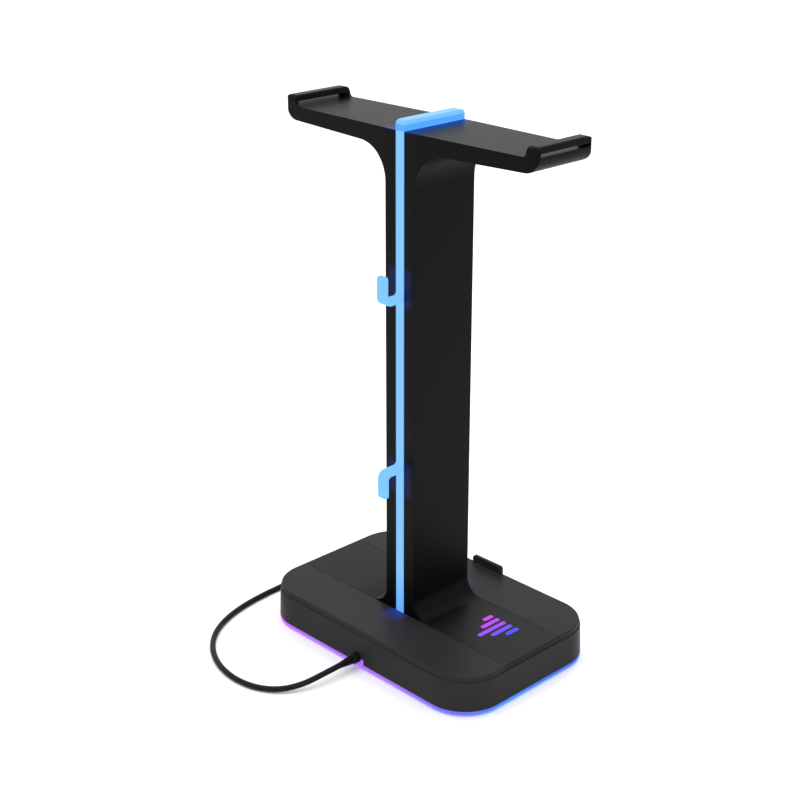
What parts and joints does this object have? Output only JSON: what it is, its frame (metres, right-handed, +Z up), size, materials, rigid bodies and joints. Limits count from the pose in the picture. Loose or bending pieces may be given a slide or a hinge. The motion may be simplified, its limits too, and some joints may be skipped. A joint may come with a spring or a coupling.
{
  "type": "headphone stand",
  "caption": "T-shaped headphone stand: weighted base with a lit rim, post of two half shells round a light guide, lipped tray, cable hooks, phone stop and power cord.",
  "frame": {"origin": "on the table, under the middle of the base", "axes": "+Z up, X along the tray and the base's long side, -Y towards the user and the phone stop, +Y towards the cord and the cable hooks"},
  "size_m": [0.2099, 0.2466, 0.2777],
  "materials": {
    "shell_black": "fine satin texture",
    "base_black": "fine satin texture",
    "light_blue": "frosted light guide, lit sky blue",
    "light_violet": "frosted light guide, lit violet to blue",
    "mark_magenta": "frosted diffuser, lit magenta to blue",
    "cover_black": "fine texture",
    "rubber_black": "matt",
    "screw_steel": "zinc plated",
    "ballast_steel": "bare plate",
    "pin_steel": "ground",
    "carrier_aluminium": "extruded",
    "board_green": "solder mask",
    "board_white": "white solder mask",
    "led_white": "moulded lens",
    "header_white": "nylon",
    "chip_black": "moulded",
    "switch_black": "moulded",
    "plunger_brown": "moulded",
    "cord_black": "satin jacket",
    "tie_black": "hook-and-loop strip",
    "plug_steel": "nickel plated",
    "tongue_white": "moulded"
  },
  "bodies": {
    "stand": {"base_shell": "base_black", "light_ring": "light_violet", "base_cover": "cover_black", "rubber_feet": "rubber_black", "cover_screws": "screw_steel", "foot_screws": "screw_steel", "board_screws": "screw_steel", "ballast_screws": "screw_steel", "ballast_plate": "ballast_steel", "control_board": "board_green", "board_headers": "header_white", "cord_connector": "header_white", "board_chips": "chip_black", "ring_led_boards": "board_white", "ring_leds": "led_white", "left_column_shell": "shell_black", "right_column_shell": "shell_black", "joining_pins": "pin_steel", "light_guide": "light_blue", "led_carrier": "carrier_aluminium", "front_led_strip": "board_white", "rear_led_strip": "board_white", "front_leds": "led_white", "rear_leds": "led_white", "mark_diffuser": "mark_magenta", "mark_led_board": "board_white", "mark_leds": "led_white", "tact_switch": "switch_black", "button_board": "board_green", "column_lead": "cord_black", "button_lead": "cord_black", "mark_lead": "cord_black", "ring_lead": "cord_black", "strain_relief": "cord_black", "inner_cord": "cord_black", "usb_cord": "cord_black", "usb_cord_tail": "cord_black", "usb_cord_coil": "cord_black", "cord_tie": "tie_black", "usb_plug_body": "cord_black", "usb_plug_shell": "plug_steel", "usb_plug_tongue": "tongue_white"},
    "button": {"mode_button": "base_black", "tact_plunger": "plunger_brown"}
  },
  "joints": [
    {"name": "mode_button_press", "type": "slide", "parent": "stand", "child": "button", "axis": [0, 1, 0], "range_m": [0, 0.0006], "stiffness_N_per_m": 600}
  ]
}
